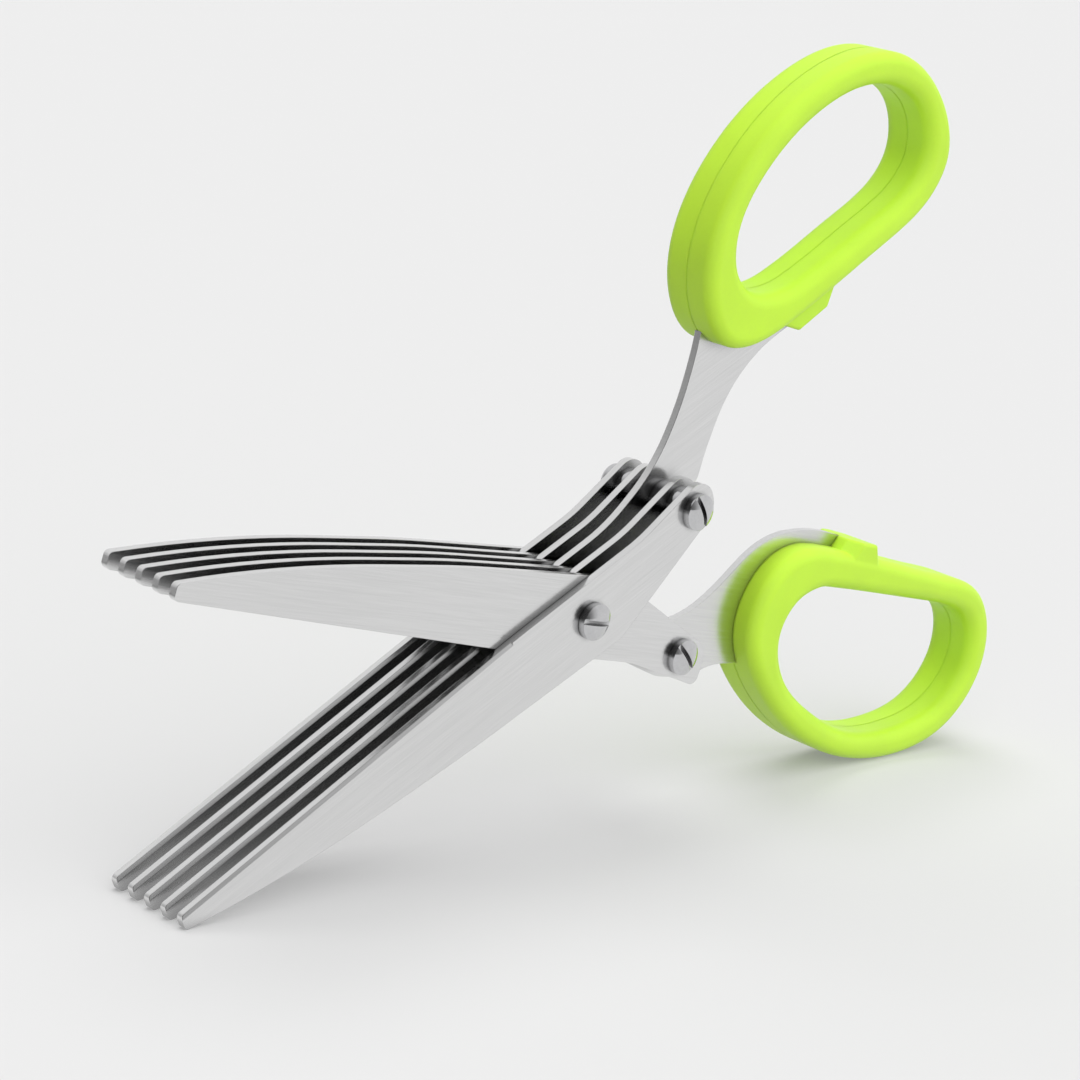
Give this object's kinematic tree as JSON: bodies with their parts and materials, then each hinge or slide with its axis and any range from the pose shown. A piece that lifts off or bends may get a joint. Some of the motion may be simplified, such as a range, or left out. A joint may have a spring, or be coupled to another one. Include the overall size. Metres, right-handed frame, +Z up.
{
  "type": "herb scissors",
  "caption": "Herb scissors: two banks of parallel steel blades that cross on one pivot screw, with two moulded finger loops, a small one above and a large one below.",
  "frame": {"origin": "under the middle of the whole object, on the surface that the blade noses and the large loop stand on", "axes": "+X along the scissors from the blades to the finger loops, +Y along the pivot screw from its head to its nut, +Z up"},
  "size_m": [0.2044, 0.0222, 0.1296],
  "materials": {
    "blade_steel": "satin",
    "fastener_steel": "polished",
    "loop_plastic": "satin"
  },
  "bodies": {
    "lower_half": {"lower_blade_1": "blade_steel", "lower_blade_2": "blade_steel", "lower_handle_blade": "blade_steel", "lower_blade_4": "blade_steel", "lower_blade_5": "blade_steel", "lower_spacer_1": "fastener_steel", "lower_spacer_2": "fastener_steel", "lower_spacer_3": "fastener_steel", "lower_spacer_4": "fastener_steel", "lower_tang_screw": "fastener_steel", "lower_tang_nut": "fastener_steel", "lower_grip": "loop_plastic", "pivot_screw": "fastener_steel", "pivot_nut": "fastener_steel", "pivot_washer_1": "fastener_steel", "pivot_washer_2": "fastener_steel", "pivot_washer_3": "fastener_steel", "pivot_washer_4": "fastener_steel"},
    "upper_half": {"upper_blade_1": "blade_steel", "upper_blade_2": "blade_steel", "upper_handle_blade": "blade_steel", "upper_blade_4": "blade_steel", "upper_blade_5": "blade_steel", "upper_spacer_1": "fastener_steel", "upper_spacer_2": "fastener_steel", "upper_spacer_3": "fastener_steel", "upper_spacer_4": "fastener_steel", "upper_tang_screw": "fastener_steel", "upper_tang_nut": "fastener_steel", "upper_grip": "loop_plastic"}
  },
  "joints": [
    {"name": "scissor_pivot", "type": "hinge", "parent": "lower_half", "child": "upper_half", "pos_m": [-0.01793, 0, 0.03828], "axis": [0, -1, 0], "range_deg": [-36.6, 92.5]}
  ]
}
